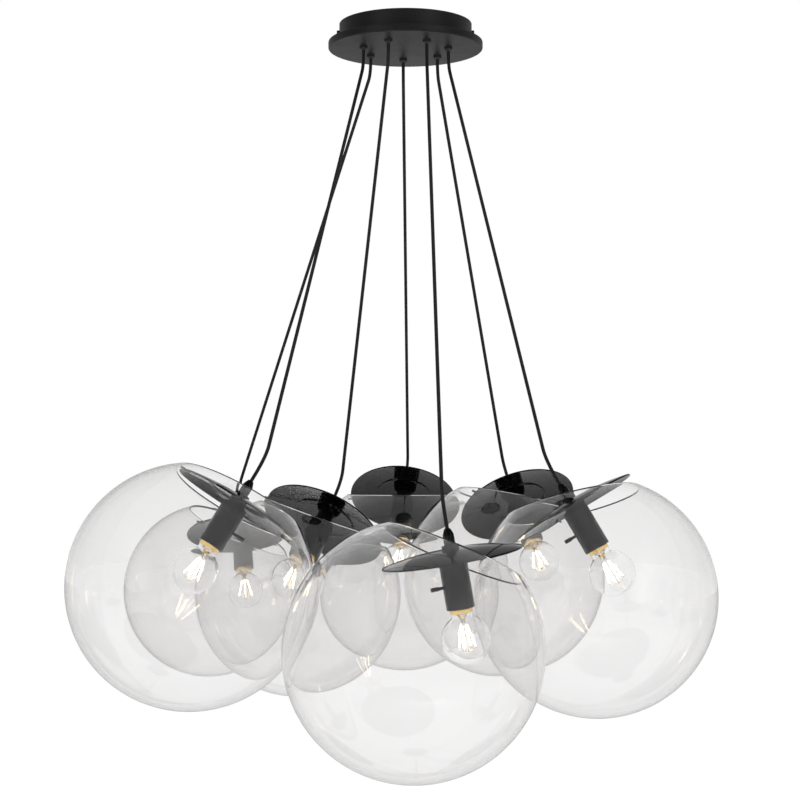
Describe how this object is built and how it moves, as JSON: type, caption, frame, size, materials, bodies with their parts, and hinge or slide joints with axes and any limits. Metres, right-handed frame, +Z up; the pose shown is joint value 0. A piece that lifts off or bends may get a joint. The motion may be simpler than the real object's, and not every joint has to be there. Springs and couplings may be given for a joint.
{
  "type": "cluster pendant",
  "caption": "Cluster pendant light: clear glass globes with filament bulbs under tilted black discs, each hung on its own cable from a round ceiling canopy and free to swing.",
  "frame": {"origin": "on the ceiling, at the middle of the bracket's two screw holes, which is the middle of the canopy", "axes": "+Z up into the ceiling, +X to the right of the picture's view, +Y away from its viewer"},
  "size_m": [0.814, 1.0389, 0.964],
  "materials": {
    "satin_black": "satin black paint",
    "gloss_black": "polished black enamel",
    "holder_black": "semi-gloss black",
    "black_plastic": "fine matt",
    "block_plastic": "matt",
    "zinc_steel": "zinc plated",
    "cable_sheath": "smooth matt sheath",
    "bulb_brass": "rolled thread, lightly aged",
    "bulb_glass": "clear",
    "globe_glass": "clear blown glass"
  },
  "bodies": {
    "canopy": {"ceiling_bracket": "zinc_steel", "canopy_cup": "satin_black", "canopy_plate": "satin_black", "cord_glands": "black_plastic", "gland_nuts": "black_plastic", "terminal_block": "block_plastic", "earth_screw": "zinc_steel", "canopy_screws": "satin_black", "inner_leads": "cable_sheath"},
    "pendant_a": {"cable_a": "cable_sheath", "cord_grip_a": "gloss_black", "disc_a": "gloss_black", "lampholder_a": "holder_black", "bulb_base_a": "bulb_brass", "bulb_glass_a": "bulb_glass", "globe_a": "globe_glass"},
    "pendant_b": {"cable_b": "cable_sheath", "cord_grip_b": "gloss_black", "disc_b": "gloss_black", "lampholder_b": "holder_black", "bulb_base_b": "bulb_brass", "bulb_glass_b": "bulb_glass", "globe_b": "globe_glass"},
    "pendant_c": {"cable_c": "cable_sheath", "cord_grip_c": "gloss_black", "disc_c": "gloss_black", "lampholder_c": "holder_black", "bulb_base_c": "bulb_brass", "bulb_glass_c": "bulb_glass", "globe_c": "globe_glass"},
    "pendant_d": {"cable_d": "cable_sheath", "cord_grip_d": "gloss_black", "disc_d": "gloss_black", "lampholder_d": "holder_black", "bulb_base_d": "bulb_brass", "bulb_glass_d": "bulb_glass", "globe_d": "globe_glass"},
    "pendant_e": {"cable_e": "cable_sheath", "cord_grip_e": "gloss_black", "disc_e": "gloss_black", "lampholder_e": "holder_black", "bulb_base_e": "bulb_brass", "bulb_glass_e": "bulb_glass", "globe_e": "globe_glass"},
    "pendant_f": {"cable_f": "cable_sheath", "cord_grip_f": "gloss_black", "disc_f": "gloss_black", "lampholder_f": "holder_black", "bulb_base_f": "bulb_brass", "bulb_glass_f": "bulb_glass", "globe_f": "globe_glass"},
    "pendant_g": {"cable_g": "cable_sheath", "cord_grip_g": "gloss_black", "disc_g": "gloss_black", "lampholder_g": "holder_black", "bulb_base_g": "bulb_brass", "bulb_glass_g": "bulb_glass", "globe_g": "globe_glass"}
  },
  "joints": [
    {"name": "swing_a", "type": "hinge", "parent": "canopy", "child": "pendant_a", "pos_m": [-0.05679, -0.01598, -0.039], "axis": [-0.8378, 0.546, 0], "range_deg": [0, 8]},
    {"name": "swing_b", "type": "hinge", "parent": "canopy", "child": "pendant_b", "pos_m": [-0.0479, 0.03444, -0.039], "axis": [0.7361, 0.6769, 0], "range_deg": [0, 8]},
    {"name": "swing_c", "type": "hinge", "parent": "canopy", "child": "pendant_c", "pos_m": [-0.02292, -0.05437, -0.039], "axis": [0, 1, 0], "range_deg": [0, 2.5]},
    {"name": "swing_d", "type": "hinge", "parent": "canopy", "child": "pendant_d", "pos_m": [-0.00294, 0.05893, -0.039], "axis": [1, -0.0035, 0], "range_deg": [0, 8]},
    {"name": "swing_e", "type": "hinge", "parent": "canopy", "child": "pendant_e", "pos_m": [0.04424, 0.03904, -0.039], "axis": [0.3566, -0.9342, 0], "range_deg": [0, 8]},
    {"name": "swing_f", "type": "hinge", "parent": "canopy", "child": "pendant_f", "pos_m": [0.02822, -0.05181, -0.039], "axis": [-0.9975, -0.0705, 0], "range_deg": [0, 8]},
    {"name": "swing_g", "type": "hinge", "parent": "canopy", "child": "pendant_g", "pos_m": [0.0581, -0.01025, -0.039], "axis": [-0.7643, -0.6449, 0], "range_deg": [0, 8]}
  ]
}
